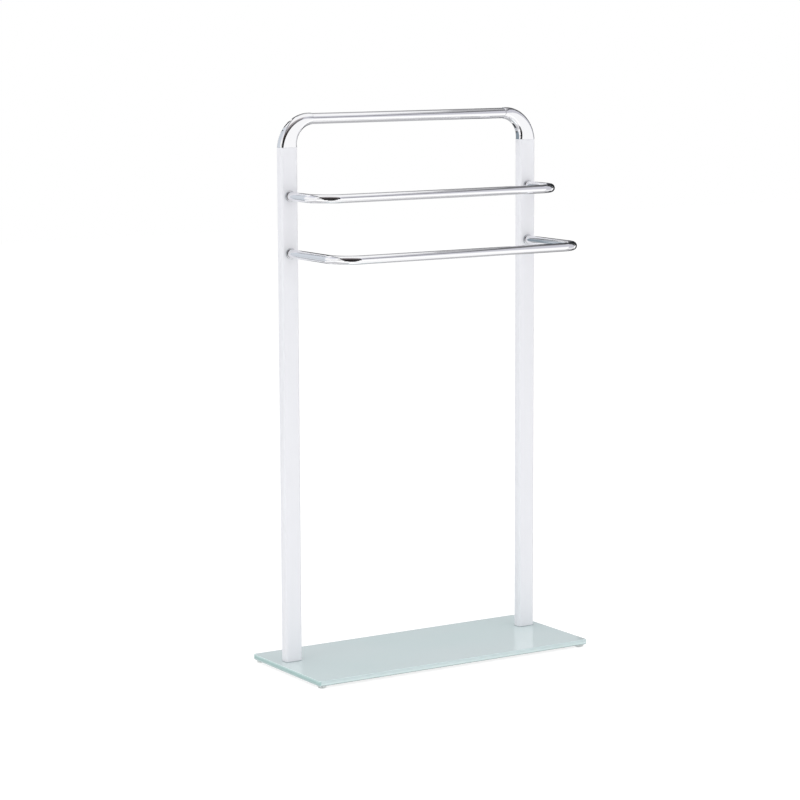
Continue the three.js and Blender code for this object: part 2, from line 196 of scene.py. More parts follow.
def complete(piece, slot, node, *materials):
    """Smooths a piece up to an angle, gives it its finish and ties it to the frame."""
    take(piece)
    fix_place()
    bpy.ops.object.shade_smooth_by_angle(angle=SMOOTH_UP_TO)
    apply_modifier(piece, "WEIGHTED_NORMAL", keep_sharp=True)
    for index, material in enumerate(materials):
        if index < len(piece.data.materials):
            piece.data.materials[index] = material
        else:
            piece.data.materials.append(material)
    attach(piece, "root")
    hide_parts(node)
    size = [round(side / MM, 1) for side in piece.dimensions]
    print(piece.name, "mm:", size, "faces:", len(piece.data.polygons))


# %% [markdown]
# ## Tools for the finishes
# A real surface is never one flat number: lacquer has a faint orange peel, chrome is polished a
# little unevenly, and glass is greener where more of it is seen. Image textures could show that,
# but patterns worked out from the place on the piece need no files and have no seams. Each tool
# below drives one input of the shader with a noise pattern in metres on the piece.

# %% Tools for noise, colour and relief
# A noise pattern seldom leaves this range, so it is spread from here.
NOISE_LOW, NOISE_HIGH = 0.3, 0.7


def new_finish(name, **sockets):
    """A material with the given numbers set on its surface shader."""
    material = bpy.data.materials.new(name)
    material.use_nodes = True
    surface = material.node_tree.nodes["Principled BSDF"]
    for socket, value in sockets.items():
        surface.inputs[socket.replace("_", " ")].default_value = value
    return material


def noise_on(material, scale, detail=2):
    """A noise pattern on object coordinates, as an output to link from."""
    nodes, links = material.node_tree.nodes, material.node_tree.links
    place = nodes.new("ShaderNodeTexCoord")
    noise = nodes.new("ShaderNodeTexNoise")
    noise.inputs["Scale"].default_value = scale
    noise.inputs["Detail"].default_value = detail
    links.new(place.outputs["Object"], noise.inputs["Vector"])
    return noise.outputs["Fac"]


def vary_number(material, socket, pattern, low, high):
    """Lets a noise pattern move one number of the shader between two values."""
    nodes, links = material.node_tree.nodes, material.node_tree.links
    spread = nodes.new("ShaderNodeMapRange")
    spread.inputs["From Min"].default_value = NOISE_LOW
    spread.inputs["From Max"].default_value = NOISE_HIGH
    spread.inputs["To Min"].default_value = low
    spread.inputs["To Max"].default_value = high
    links.new(pattern, spread.inputs["Value"])
    links.new(spread.outputs["Result"], nodes["Principled BSDF"].inputs[socket])


def colour_by(material, value, stops):
    """Colours the shader by a value, from stops of share and colour."""
    nodes, links = material.node_tree.nodes, material.node_tree.links
    ramp = nodes.new("ShaderNodeValToRGB")
    while len(ramp.color_ramp.elements) < len(stops):
        ramp.color_ramp.elements.new(0.5)
    for element, (share, colour) in zip(ramp.color_ramp.elements, stops):
        element.position = share
        element.color = (*colour, 1)
    links.new(value, ramp.inputs["Fac"])
    links.new(ramp.outputs["Color"], nodes["Principled BSDF"].inputs["Base Color"])
    return ramp


def vary_colour(material, pattern, first, second):
    """Lets a noise pattern mix the base colour from two colours."""
    return colour_by(material, pattern, [(NOISE_LOW, first), (NOISE_HIGH, second)])


def add_relief(material, pattern, depth, strength):
    """Lets a pattern raise and sink the surface by a small depth in metres."""
    nodes, links = material.node_tree.nodes, material.node_tree.links
    bump = nodes.new("ShaderNodeBump")
    bump.inputs["Distance"].default_value = depth
    bump.inputs["Strength"].default_value = strength
    links.new(pattern, bump.inputs["Height"])
    links.new(bump.outputs["Normal"], nodes["Principled BSDF"].inputs["Normal"])


# %% [markdown]
# ## Chrome
# Plated brass or steel tube is a mirror with a faint violet cast. A mirror could be pure metal
# with no roughness, but real plating follows the polishing beneath it, so the roughness wanders
# a little between nearly none and just visible, and the tint drifts too.

# %% Make the chrome
chrome = new_finish("polished_chrome", Metallic=1.0, Roughness=0.04)
vary_number(chrome, "Roughness", noise_on(chrome, 60, detail=3), low=0.025, high=0.06)
vary_colour(chrome, noise_on(chrome, 9), (0.93, 0.93, 0.95), (0.95, 0.95, 0.965))
print("finish:", chrome.name)

# %% [markdown]
# ## White lacquer
# The posts are powder coated. Powder melts into a film with a very fine orange peel, so the
# finish is a cool white with a satin gloss, a tiny relief and hardly any change of colour. The
# peel could be modelled, but it is so shallow that a bump shows it as well.

# %% Make the white lacquer
PEEL_DEPTH = 0.02 * MM
lacquer = new_finish("satin_lacquer", Roughness=0.3, IOR=1.5, Specular_IOR_Level=0.25)
vary_colour(lacquer, noise_on(lacquer, 14), (0.862, 0.868, 0.905), (0.870, 0.875, 0.911))
vary_number(lacquer, "Roughness", noise_on(lacquer, 40), low=0.29, high=0.32)
add_relief(lacquer, noise_on(lacquer, 900, detail=1), PEEL_DEPTH, strength=0.06)
print("finish:", lacquer.name)

# %% [markdown]
# ## Glass, coated beneath
# The plate is float glass with a pale coat on its underside, so nothing is seen through it. It
# could be a refracting block over a white sheet, but a render of that is slow and noisy, and
# it looks the same as a glossy pale top. The top is therefore a polished skin over a pale green
# and the coat is matt. The ground edges get bands of colour by height, a painted highlight and a
# painted dark line for the light that gathers along them. The two ends are greener, because one
# looks along half a metre of glass there, and they are painted darker as shade, for they get
# less light than the front.

# %% Make the glass's top and coat
glass_top = new_finish("glass_top", Roughness=0.05, IOR=1.5)
vary_colour(glass_top, noise_on(glass_top, 5), (0.565, 0.665, 0.672), (0.598, 0.672, 0.684))
vary_number(glass_top, "Roughness", noise_on(glass_top, 25), low=0.035, high=0.06)
glass_coat = new_finish("glass_coat", Roughness=0.6)
vary_colour(glass_coat, noise_on(glass_coat, 120), (0.66, 0.74, 0.73), (0.70, 0.78, 0.77))
print("finishes:", glass_top.name, glass_coat.name)


# %% Make the glass's ground edges
def colour_bands(material, stops, low, high, axis="Z"):
    """Colours the shader in bands along one axis, from stops of share and colour."""
    nodes, links = material.node_tree.nodes, material.node_tree.links
    place = nodes.new("ShaderNodeTexCoord")
    split = nodes.new("ShaderNodeSeparateXYZ")
    level = nodes.new("ShaderNodeMapRange")
    level.inputs["From Min"].default_value = low
    level.inputs["From Max"].default_value = high
    links.new(place.outputs["Object"], split.inputs["Vector"])
    links.new(split.outputs[axis], level.inputs["Value"])
    colour_by(material, level.outputs["Result"], stops)


plate_low, plate_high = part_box("glass_base")
# Painted light: each edge's bands hold a painted highlight and a painted dark line, and the ends
# are painted darker as shade.
EDGE_PAINTED_LIGHT_STOPS = {
    "glass_front_painted_light": [
        (0.0, (0.43, 0.51, 0.51)),
        (0.14, (0.46, 0.55, 0.55)),
        (0.28, (0.73, 0.86, 0.86)),
        (0.50, (0.63, 0.74, 0.75)),
        (1.0, (0.585, 0.69, 0.70)),
    ],
    "glass_end_painted_shade": [
        (0.0, (0.62, 0.73, 0.73)),
        (0.15, (0.53, 0.65, 0.65)),
        (0.45, (0.40, 0.57, 0.555)),
        (0.75, (0.48, 0.65, 0.64)),
        (1.0, (0.66, 0.80, 0.79)),
    ],
}
glass_edges = []
for name, stops in EDGE_PAINTED_LIGHT_STOPS.items():
    edge_finish = new_finish(name, Roughness=0.12, IOR=1.5, Specular_IOR_Level=0.3)
    colour_bands(edge_finish, stops, plate_low.z, plate_high.z)
    vary_number(edge_finish, "Roughness", noise_on(edge_finish, 300), low=0.1, high=0.2)
    glass_edges.append(edge_finish)
print("finishes:", *EDGE_PAINTED_LIGHT_STOPS)

# %% [markdown]
# ## Rubber, nylon and zinc
# The feet are clear soft bumpers, the gasket under each post is grey rubber, and the bushes and
# inserts are natural nylon. The screws and washers are zinc plated, which shows a fine crystal
# grain and a broader shine than chrome. Each could be one plain colour, but none of them is so
# even when seen close, so a fine noise mixes each from two near colours.

# %% Make the small finishes
clear_rubber = new_finish("clear_rubber", Roughness=0.35, IOR=1.45, Transmission_Weight=0.6)
vary_colour(clear_rubber, noise_on(clear_rubber, 180), (0.86, 0.91, 0.90), (0.93, 0.96, 0.95))
grey_rubber = new_finish("grey_rubber", Roughness=0.7)
vary_colour(grey_rubber, noise_on(grey_rubber, 400), (0.48, 0.53, 0.54), (0.55, 0.60, 0.61))
nylon = new_finish("natural_nylon", Roughness=0.5, Subsurface_Weight=0.1)
vary_colour(nylon, noise_on(nylon, 250), (0.74, 0.74, 0.70), (0.80, 0.80, 0.77))
zinc = new_finish("zinc_plate", Metallic=1.0, Roughness=0.3)
vary_colour(zinc, noise_on(zinc, 500), (0.52, 0.54, 0.57), (0.66, 0.68, 0.70))
vary_number(zinc, "Roughness", noise_on(zinc, 700), low=0.22, high=0.38)
for finish in (clear_rubber, grey_rubber, nylon, zinc):
    print("finish:", finish.name)

# %% [markdown]
# ## The glass plate
# A sheet of 8 mm glass is cut, its four corners are rounded, and all of its rim is ground to a
# small arris so that no hand is cut. The same order works here: a block at full size, a bevel on
# the four upright edges, then a small bevel on every rim edge. A rounded curve could be extruded
# instead, but bevels keep the flat faces whole, and those carry the reflections.

# %% Shape the glass plate
CORNER_ROUND = 4 * MM
ARRIS = 0.8 * MM
# A face or edge looks squarely along an axis when its share along it is over this.
SQUARE_ON = 0.9999
start_fresh()
plate_middle = (plate_low + plate_high) / 2
bpy.ops.mesh.primitive_cube_add(size=1, location=plate_middle, scale=plate_high - plate_low)
glass_plate = start_piece("glass_plate")


def is_upright(edge):
    """An edge that runs straight up."""
    along = edge.verts[0].co - edge.verts[1].co
    return abs(along.z) > SQUARE_ON * along.length


def is_rim(edge):
    """An edge where a level face meets an upright one."""
    levels = [abs(face.normal.z) > SQUARE_ON for face in edge.link_faces]
    return len(levels) == 2 and levels[0] != levels[1]


pick("edges", is_upright)
round_off(CORNER_ROUND, steps=14)
print("rim edges:", pick("edges", is_rim))
round_off(ARRIS, steps=3)

# %% [markdown]
# Two holes take the base screws. They lie under the posts, where only the screws' bushes are
# seen from below. They could be cut out of the top and the coat by insetting, but a glazier
# drills them with a core drill, so a cylinder is taken away with a Boolean modifier. The faces
# then get their four finishes by the way that they look: long edges, ends, top and coat.

# %% Drill the plate
HOLE_RADIUS = 4.8 * MM
PLATE_DRILL = 30 * MM
ALONG = {"X": (0, math.pi / 2, 0), "Y": (math.pi / 2, 0, 0), "Z": (0, 0, 0)}


def add_bar(radius, length, place, axis="Z", faces=48):
    """Adds a round bar along an axis, at its size and place."""
    start_fresh()
    bpy.ops.mesh.primitive_cylinder_add(
        vertices=faces, radius=radius, depth=length, location=place, rotation=ALONG[axis]
    )
    return bpy.context.object


def cut_away(piece, cutter):
    """Takes a cutter's shape out of a piece, and puts the cutter away."""
    apply_modifier(piece, "BOOLEAN", operation="DIFFERENCE", object=cutter, solver="EXACT")
    bpy.data.objects.remove(cutter, do_unlink=True)


posts = {side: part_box(side + "_post") for side in ("left", "right")}
for low, high in posts.values():
    centre = (low + high) / 2
    hole = (centre.x, centre.y, plate_middle.z)
    cut_away(glass_plate, add_bar(HOLE_RADIUS, PLATE_DRILL, hole))
    print("hole at, mm:", [round(side / MM, 2) for side in hole])

# %% Give the plate's faces their finishes
LONG_EDGE, END, TOP, COAT = range(4)
END_SLANT = 0.3
for face in glass_plate.data.polygons:
    if face.normal.z > SQUARE_ON:
        face.material_index = TOP
    elif face.normal.z < -SQUARE_ON:
        face.material_index = COAT
    else:
        face.material_index = END if abs(face.normal.x) > END_SLANT else LONG_EDGE
complete(glass_plate, "glass_plate", "glass_base", *glass_edges, glass_top, glass_coat)

# %% [markdown]
# ## The feet
# Four clear bumpers are stuck beneath the plate's corners. Each is moulded with a rounded lower
# edge and a hollow in its sole that grips the floor. A profile could be spun, but bevelling the
# lower rim of a cylinder and insetting its sole needs no drawing. The other three are copies.

# %% Shape one foot and copy it
FOOT_EDGE = 1.2 * MM
SOLE_RIM = 2.2 * MM
SOLE_SLOPE = 0.6 * MM
SOLE_DEPTH = 0.5 * MM
foot_low, foot_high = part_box("foot_front_left")
foot_middle = (foot_low + foot_high) / 2
foot_radius = (foot_high.x - foot_low.x) / 2
add_bar(foot_radius, foot_high.z - foot_low.z, foot_middle)
first_foot = start_piece("clear_foot_front_left")
pick("edges", lambda edge: is_rim(edge) and edge.verts[0].co.z < foot_middle.z)
round_off(FOOT_EDGE, steps=6)
pick("faces", lambda face: face.normal.z < -SQUARE_ON)
bpy.ops.mesh.inset(thickness=SOLE_RIM)
bpy.ops.mesh.inset(thickness=SOLE_SLOPE, depth=-SOLE_DEPTH)
foot_corners = ("front_right", "rear_left", "rear_right")
foot_moves = {corner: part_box("foot_" + corner)[0] - foot_low for corner in foot_corners}
for foot in with_copies(first_foot, "clear_foot_", foot_moves):
    complete(foot, "clear_foot", foot.name.replace("clear_", ""), clear_rubber)

# %% [markdown]
# ## The posts
# Each post is a length of steel tube, 28 by 16 mm with rounded corners, sawn square, drilled for
# the rail screws and powder coated. The bore is made as a tube has it: both ends are inset by
# the wall's thickness and bridged through. A Solidify modifier would do as well. The sawn rims
# get a small bevel, which draws the fine seam where the elbow sits on the post.

# %% Shape the left post
POST_ROUND = 4 * MM
POST_WALL = 1.2 * MM
SEAM_EDGE = 0.25 * MM


def bore_through(wall):
    """Insets the two selected end faces and bridges them into a bore."""
    bpy.ops.mesh.inset(thickness=wall)
    bpy.ops.mesh.bridge_edge_loops()


def is_outer_rim(edge, middle):
    """A rim edge whose upright face looks away from the middle."""
    if not is_rim(edge):
        return False
    upright = min(edge.link_faces, key=lambda face: abs(face.normal.z))
    return upright.normal.dot(upright.calc_center_median() - middle) > 0


start_fresh()
post_low, post_high = posts["left"]
post_middle = (post_low + post_high) / 2
bpy.ops.mesh.primitive_cube_add(size=1, location=post_middle, scale=post_high - post_low)
left_post = start_piece("post_left")
pick("edges", is_upright)
round_off(POST_ROUND, steps=10)
pick("faces", lambda face: abs(face.normal.z) > SQUARE_ON)
bore_through(POST_WALL)
print("outer rim edges:", pick("edges", lambda edge: is_outer_rim(edge, post_middle)))
round_off(SEAM_EDGE, steps=2)

# %% Drill the posts for the rail screws
SCREW_HOLE_RADIUS = 2.8 * MM
POST_DRILL = 40 * MM
rail_boxes = {name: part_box(name + "_rail") for name in ("upper", "lower")}
rail_heights = {name: (low.z + high.z) / 2 for name, (low, high) in rail_boxes.items()}
for height in rail_heights.values():
    hole = (post_middle.x, post_middle.y, height)
    cut_away(left_post, add_bar(SCREW_HOLE_RADIUS, POST_DRILL, hole, "Y"))
post_shift = posts["right"][0] - post_low
right_post = copy_to(left_post, "post_right", post_shift)
complete(left_post, "white_lacquer", "left_post", lacquer)
complete(right_post, "white_lacquer", "right_post", lacquer)

# %% [markdown]
# ## The elbows
# This is the casting that carries the whole look: it starts as the post's rounded rectangle and
# turns a quarter circle while it slims down to the round neck of the top rail. A pattern maker
# cuts such a shape straight and thinks of it bent, and so is it done here. A circle is opened
# into the post's outline by moving its four quarters apart, the round neck is set above it, and
# the two are bridged with many cuts. Then a bend turns the straight piece through 90 degrees.
# A sweep along a curve could do it too, but it doesn't blend between two outlines. The taper
# swells by a tenth of a millimetre just before the neck, so the neck is made that much thinner
# than its solid and the whole elbow stays under the solid's top. Last, both open ends are filled,
# and a spigot is inset and pushed out of each, as on the real casting: one goes down into the
# post and one sideways into the rail.

# %% Model the elbow straight
ELBOW_FACES_A_QUARTER = 12
ELBOW_CUTS = 31
NECK_RADIUS = 8.6 * MM
top_low, top_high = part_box("top_rail")
bend_radius = (top_low.z + top_high.z) / 2 - post_high.z
straight_length = bend_radius * math.pi / 2
around = 4 * ELBOW_FACES_A_QUARTER
half_face = math.pi / around
ring = {"vertices": around, "rotation": (0, 0, half_face)}
start_fresh()
bpy.ops.mesh.primitive_circle_add(radius=POST_ROUND / math.cos(half_face), **ring)
left_elbow = start_piece("elbow_left")
apart_x = (post_high.x - post_low.x) / 2 - POST_ROUND
apart_y = (post_high.y - post_low.y) / 2 - POST_ROUND
for sign_x, sign_y in ((1, 1), (-1, 1), (-1, -1), (1, -1)):
    pick("verts", lambda vert: vert.co.x * sign_x > 0 and vert.co.y * sign_y > 0)
    bpy.ops.transform.translate(value=(sign_x * apart_x, sign_y * apart_y, 0))
bpy.ops.mesh.primitive_circle_add(radius=NECK_RADIUS, location=(0, 0, straight_length), **ring)
bpy.ops.mesh.select_mode(type="EDGE")
bpy.ops.mesh.select_all(action="SELECT")
bpy.ops.mesh.bridge_edge_loops(number_cuts=ELBOW_CUTS, interpolation="LINEAR")
bpy.ops.object.mode_set(mode="OBJECT")
print("elbow, straight, mm:", [round(side / MM, 2) for side in left_elbow.dimensions])

# %% Bend the elbow and close its ends
# What is closer than this counts as touching.
HAIR = 0.01 * MM
apply_modifier(
    left_elbow, "SIMPLE_DEFORM", deform_method="BEND", deform_axis="Y", angle=math.pi / 2
)
print("elbow, bent, mm:", [round(side / MM, 2) for side in left_elbow.dimensions])
bpy.ops.object.mode_set(mode="EDIT")
bpy.ops.mesh.select_all(action="SELECT")
bpy.ops.mesh.remove_doubles(threshold=HAIR)
pick("verts", lambda vert: abs(vert.co.z) < HAIR)
bpy.ops.mesh.edge_face_add()
pick("verts", lambda vert: abs(vert.co.x - bend_radius) < HAIR)
bpy.ops.mesh.edge_face_add()
bpy.ops.mesh.select_all(action="SELECT")
bpy.ops.mesh.normals_make_consistent(inside=False)

# %% Draw the spigots out of the elbow's ends
FIT_GAP = 0.3 * MM
NECK_EDGE = 0.35 * MM
TOP_RAIL_WALL = 1.2 * MM
POST_SPIGOT = 24 * MM
RAIL_SPIGOT = 20 * MM


def is_post_end(face):
    """The flat end that sits on the post."""
    return face.normal.z < -SQUARE_ON and abs(face.calc_center_median().z) < HAIR


def is_neck_end(face):
    """The flat end that meets the rail."""
    return face.normal.x > SQUARE_ON and abs(face.calc_center_median().x - bend_radius) < HAIR


print("post ends:", pick("faces", is_post_end))
round_off(SEAM_EDGE, steps=2)
pick("faces", is_post_end)
bpy.ops.mesh.inset(thickness=POST_WALL + FIT_GAP - SEAM_EDGE)
push((0, 0, -POST_SPIGOT))
print("neck ends:", pick("faces", is_neck_end))
round_off(NECK_EDGE, steps=3)
pick("faces", is_neck_end)
neck_step = NECK_RADIUS - (top_high.z - top_low.z) / 2
bpy.ops.mesh.inset(thickness=neck_step + TOP_RAIL_WALL + FIT_GAP - NECK_EDGE)
push((RAIL_SPIGOT, 0, 0))
bpy.ops.object.mode_set(mode="OBJECT")

# %% Place the elbow and turn its twin for the right
left_elbow.location = (post_middle.x, post_middle.y, post_high.z)
fix_place()
right_elbow = copy_to(left_elbow, "elbow_right", (0, 0, 0))
half_turn = Matrix.Rotation(math.pi, 4, "Z")
right_elbow.matrix_world = Matrix.Translation((0, 2 * post_middle.y, 0)) @ half_turn
fix_place()
complete(left_elbow, "chrome_plate", "left_elbow", chrome)
complete(right_elbow, "chrome_plate", "right_elbow", chrome)

# %% [markdown]
# ## The top rail
# A straight tube of 16 mm slides over the spigots of both elbows. A curve with a bevel would
# give a tube without walls. So it starts as a cylinder, is bored through by insetting and
# bridging its ends as the posts were, and its rims are broken so that a fine line shows at each
# neck.

# %% Shape the top rail
TUBE_EDGE = 0.2 * MM
top_middle = (top_low + top_high) / 2
rail_radius = (top_high.z - top_low.z) / 2
add_bar(rail_radius, top_high.x - top_low.x, top_middle, "X", faces=64)
top_rail = start_piece("rail_top")
pick("faces", lambda face: abs(face.normal.x) > SQUARE_ON)
bore_through(TOP_RAIL_WALL)


def is_tube_rim(edge):
    """An outer edge of the tube's sawn ends."""
    ends = [abs(face.normal.x) > SQUARE_ON for face in edge.link_faces]
    outside = all((vert.co - top_middle).yz.length > rail_radius - HAIR for vert in edge.verts)
    return outside and len(ends) == 2 and ends[0] != ends[1]


print("tube rim edges:", pick("edges", is_tube_rim))
round_off(TUBE_EDGE, steps=2)
complete(top_rail, "chrome_plate", "top_rail", chrome)

# %% [markdown]
# ## The two U rails
# Each U rail is one tube of 13 mm, bent twice on a bending machine. The machine's own order is
# followed: a ring of the tube is pushed straight out of the post, spun round the first bend,
# pushed across, spun round the second bend and pushed back to the other post. A bevelled curve
# could give the same tube, but spinning keeps true arcs and an even ring of faces. The wall is
# given last, inwards, so that the outside keeps its diameter.

# %% Bend the U rails
RAIL_RADIUS = 6.5 * MM
RAIL_WALL = 1.1 * MM
RAIL_BEND = 34 * MM
RAIL_FACES = 48
BEND_STEPS = 28


def bend_tube(name, front_y, z):
    """One U rail, from the left post's face round to the right post's face."""
    left_x, right_x, start_y = post_middle.x, -post_middle.x, post_low.y
    arm = start_y - front_y - RAIL_BEND
    start_fresh()
    bpy.ops.mesh.primitive_circle_add(
        vertices=RAIL_FACES,
        radius=RAIL_RADIUS,
        location=(left_x, start_y, z),
        rotation=ALONG["Y"],
    )
    tube = start_piece(name)
    bpy.ops.mesh.select_all(action="SELECT")
    push((0, -arm, 0))
    bend_y = front_y + RAIL_BEND
    spin = {"steps": BEND_STEPS, "angle": -math.pi / 2, "axis": (0, 0, 1)}
    bpy.ops.mesh.spin(center=(left_x + RAIL_BEND, bend_y, z), **spin)
    push((right_x - left_x - 2 * RAIL_BEND, 0, 0))
    bpy.ops.mesh.spin(center=(right_x - RAIL_BEND, bend_y, z), **spin)
    push((0, arm, 0))
    bpy.ops.mesh.select_all(action="SELECT")
    bpy.ops.mesh.remove_doubles(threshold=HAIR)
    bpy.ops.mesh.normals_make_consistent(inside=False)
    bpy.ops.object.mode_set(mode="OBJECT")
    apply_modifier(tube, "SOLIDIFY", thickness=RAIL_WALL, offset=-1, use_even_offset=True)
    return tube


for name, (low, high) in rail_boxes.items():
    tube = bend_tube("rail_" + name, low.y + RAIL_RADIUS, rail_heights[name])
    complete(tube, "chrome_plate", name + "_rail", chrome)

# %% [markdown]
# ## The collars
# A thin chromed ring hides the gap where a rail meets its post. A torus would be quicker, but a
# real ring lies flat on the post. It is a short cylinder, bored through for the rail, with its
# outer front edge rounded over. One is modelled at the upper left, and its three copies go to
# the other rail ends. Its chrome's colour is darkened towards the post as painted shade, for the
# dark corner against the post that it would mirror.

# %% Shape one collar
COLLAR_WALL = 1.1 * MM
COLLAR_ROUND = 1.0 * MM
collar_low, collar_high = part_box("upper_left_collar")
collar_middle = (collar_low + collar_high) / 2
collar_radius = (collar_high.x - collar_low.x) / 2
add_bar(collar_radius, collar_high.y - collar_low.y, collar_middle, "Y")
first_collar = start_piece("collar_upper_left")
pick("faces", lambda face: abs(face.normal.y) > SQUARE_ON)
bore_through(COLLAR_WALL)


def is_front_edge(edge):
    """The collar's outer edge on the side away from the post."""
    front = all(vert.co.y < collar_middle.y for vert in edge.verts)
    reach = min((vert.co - collar_middle).xz.length for vert in edge.verts)
    return front and reach > collar_radius - HAIR


print("front edges:", pick("edges", is_front_edge))
round_off(COLLAR_ROUND, steps=6)

# %% Finish the collar and copy it
# The base colour darkens from the front edge towards the post: painted shade for the dark corner
# there.
COLLAR_SHADE_STOPS = [
    (0.0, (0.93, 0.93, 0.95)),
    (0.22, (0.80, 0.82, 0.85)),
    (0.42, (0.37, 0.41, 0.45)),
    (1.0, (0.18, 0.20, 0.22)),
]
collar_chrome = new_finish("collar_chrome", Metallic=1.0)
colour_bands(collar_chrome, COLLAR_SHADE_STOPS, collar_low.y, collar_high.y, "Y")
vary_number(collar_chrome, "Roughness", noise_on(collar_chrome, 60), low=0.03, high=0.08)
collar_ends = ("upper_right", "lower_left", "lower_right")
collar_moves = {end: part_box(end + "_collar")[0] - collar_low for end in collar_ends}
for collar in with_copies(first_collar, "collar_", collar_moves):
    node = collar.name.replace("collar_", "") + "_collar"
    complete(collar, "chrome_plate", node, collar_chrome)

# %% [markdown]
# ## Screws and washers
# From behind, each rail end is held by a button-head screw with a hexagon socket over a thin
# washer. The head is a cylinder whose outer rim is bevelled far enough to become a dome, the
# shank is drawn out of its underside, and the socket is sunk with a six-sided cutter. A lathe's
# profile could be spun instead, but it would need the socket cut all the same. The washer is a
# disc bored through, with the rims of its rear face broken.

# %% A tool that makes a socket screw
def socket_screw(name, head_radius, head_height, dome, shank_radius, reach, flats, socket_depth):
    """A screw that stands head up on the origin, with its shank going down."""
    add_bar(head_radius, head_height, (0, 0, head_height / 2))
    screw = start_piece(name)
    pick("edges", lambda edge: is_rim(edge) and edge.verts[0].co.z > head_height / 2)
    round_off(dome, steps=8)
    pick("faces", lambda face: face.normal.z < -SQUARE_ON)
    bpy.ops.mesh.inset(thickness=head_radius - shank_radius)
    push((0, 0, -reach))
    socket_radius = flats / 2 / math.cos(math.pi / 6)
    cut_away(screw, add_bar(socket_radius, 2 * socket_depth, (0, 0, head_height), faces=6))
    return screw


def lay(piece, turn, place):
    """Turns a piece about X, moves it to its place and fixes both in its mesh."""
    take(piece)
    piece.rotation_euler = (turn, 0, 0)
    piece.location = place
    fix_place()


# %% Make the four rail screws
WASHER_THICK = 1 * MM
first_screw = socket_screw(
    "screw_upper_left",
    head_radius=4.75 * MM,
    head_height=2.7 * MM,
    dome=1.9 * MM,
    shank_radius=2.5 * MM,
    reach=33 * MM,
    flats=3 * MM,
    socket_depth=1.7 * MM,
)
screw_seat = (post_middle.x, post_high.y + WASHER_THICK, rail_heights["upper"])
lay(first_screw, -math.pi / 2, screw_seat)
drop = rail_heights["lower"] - rail_heights["upper"]
end_moves = {
    "upper_right": (post_shift.x, 0, 0),
    "lower_left": (0, 0, drop),
    "lower_right": (post_shift.x, 0, drop),
}
for screw in with_copies(first_screw, "screw_", end_moves):
    complete(screw, "zinc_steel", screw.name.replace("screw_", "") + "_rail_screw", zinc)

# %% Make the four washers
WASHER_RADIUS = 5.5 * MM
WASHER_WALL = 2.7 * MM
WASHER_EDGE = 0.15 * MM
washer_place = (post_middle.x, post_high.y + WASHER_THICK / 2, rail_heights["upper"])
add_bar(WASHER_RADIUS, WASHER_THICK, washer_place, "Y")
first_washer = start_piece("washer_upper_left")
pick("faces", lambda face: abs(face.normal.y) > SQUARE_ON)
bore_through(WASHER_WALL)
pick("faces", lambda face: face.normal.y > SQUARE_ON)
bpy.ops.mesh.region_to_loop()
round_off(WASHER_EDGE, steps=2)
for washer in with_copies(first_washer, "washer_", end_moves):
    complete(washer, "zinc_steel", washer.name.replace("washer_", "") + "_rail_washer", zinc)

# %% [markdown]
# ## Base screws and bushes
# From below, each post is drawn down on to the glass by a flat-headed screw, made as the others
# were. Steel on the edge of a hole would crack the glass, so a nylon bush keeps them apart: a
# flange under the head and a sleeve in the hole. It could be two tubes set on each other, but
# drawing the sleeve out of the flange keeps it one piece, as it is moulded.

# %% Make the two base screws
BUSH_FLANGE = 1 * MM
first_base_screw = socket_screw(
    "base_screw_left",
    head_radius=7.5 * MM,
    head_height=2 * MM,
    dome=0.5 * MM,
    shank_radius=3 * MM,
    reach=33.8 * MM,
    flats=4 * MM,
    socket_depth=2.6 * MM,
)
flange_face = Vector((post_middle.x, post_middle.y, plate_low.z - BUSH_FLANGE))
lay(first_base_screw, math.pi, flange_face)
to_right = {"right": (post_shift.x, 0, 0)}
base_screws = with_copies(first_base_screw, "base_screw_", to_right)
print("base screws:", len(base_screws))

# %% Shape one bush and copy it
FLANGE_RADIUS = 9.5 * MM
FLANGE_EDGE = 0.3 * MM
FLANGE_STEP = 5.0 * MM
SLEEVE_LENGTH = 7.7 * MM
SLEEVE_WALL = 1.2 * MM


def is_bush_core(face):
    """The round face in the middle of the bush's top or bottom."""
    off_centre = (face.calc_center_median() - flange_face).xy.length
    return abs(face.normal.z) > SQUARE_ON and off_centre < HAIR


bush_place = flange_face + Vector((0, 0, BUSH_FLANGE / 2))
add_bar(FLANGE_RADIUS, BUSH_FLANGE, bush_place)
first_bush = start_piece("bush_left")
pick("edges", lambda edge: is_rim(edge) and edge.verts[0].co.z < bush_place.z)
round_off(FLANGE_EDGE, steps=3)
pick("faces", lambda face: face.normal.z > SQUARE_ON)
bpy.ops.mesh.inset(thickness=FLANGE_STEP)
push((0, 0, SLEEVE_LENGTH))
bpy.ops.mesh.inset(thickness=SLEEVE_WALL)
pick("faces", lambda face: face.normal.z < -SQUARE_ON)
bpy.ops.mesh.inset(thickness=FLANGE_STEP + SLEEVE_WALL - FLANGE_EDGE)
print("bush cores:", pick("faces", is_bush_core))
bpy.ops.mesh.bridge_edge_loops()
bushes = with_copies(first_bush, "bush_", to_right)

# %% Finish the base screws and their bushes
for side, screw in zip(("left", "right"), base_screws):
    complete(screw, "zinc_steel", side + "_base_screw", zinc)
for side, bush in zip(("left", "right"), bushes):
    complete(bush, "nylon", side + "_base_bush", nylon)

# %% [markdown]
# ## The pieces that stay as they are
# The inserts in the posts' feet, the gaskets and the threaded plugs in the rail ends are already
# right as solids and hardly or not seen. They could be modelled anew, but nothing of it would
# show, so they keep their meshes and only get their finishes.

# %% Finish the carried pieces
carried = {"post_gasket": grey_rubber, "post_insert": nylon, "end_plug": zinc}
for node_name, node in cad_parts.items():
    for ending, finish in carried.items():
        if node_name.endswith(ending):
            node.data.materials.clear()
            node.data.materials.append(finish)
            print("carried:", node_name, "in", finish.name)

